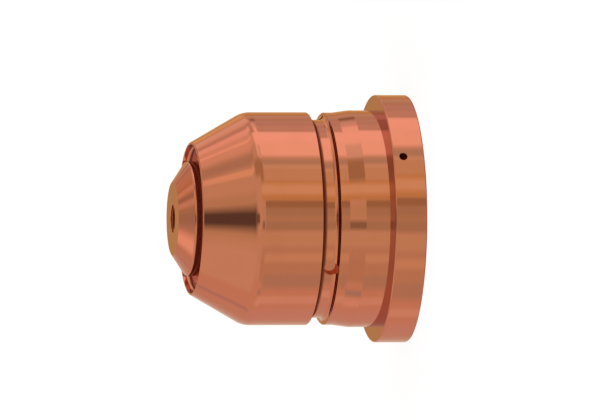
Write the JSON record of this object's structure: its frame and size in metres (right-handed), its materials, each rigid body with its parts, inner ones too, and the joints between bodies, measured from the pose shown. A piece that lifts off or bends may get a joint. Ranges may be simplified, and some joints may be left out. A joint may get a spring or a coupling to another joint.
{
  "type": "plasma torch nozzle",
  "caption": "Turned copper plasma torch nozzle: conical nose with a relief ring round a raised tip, sealing groove, flanged rear end and a stepped bore to the orifice.",
  "frame": {"origin": "centre of the flange's flat back face, on the turning axis", "axes": "+Z along the turning axis towards the tip, so the nozzle stands on its flange; +X through the middle of one of the three pockets in the sealing groove"},
  "size_m": [0.0256, 0.0256, 0.0244],
  "materials": {
    "copper": "bright fine-turned copper"
  },
  "bodies": {
    "root": {"nozzle_body": "copper"}
  },
  "joints": []
}
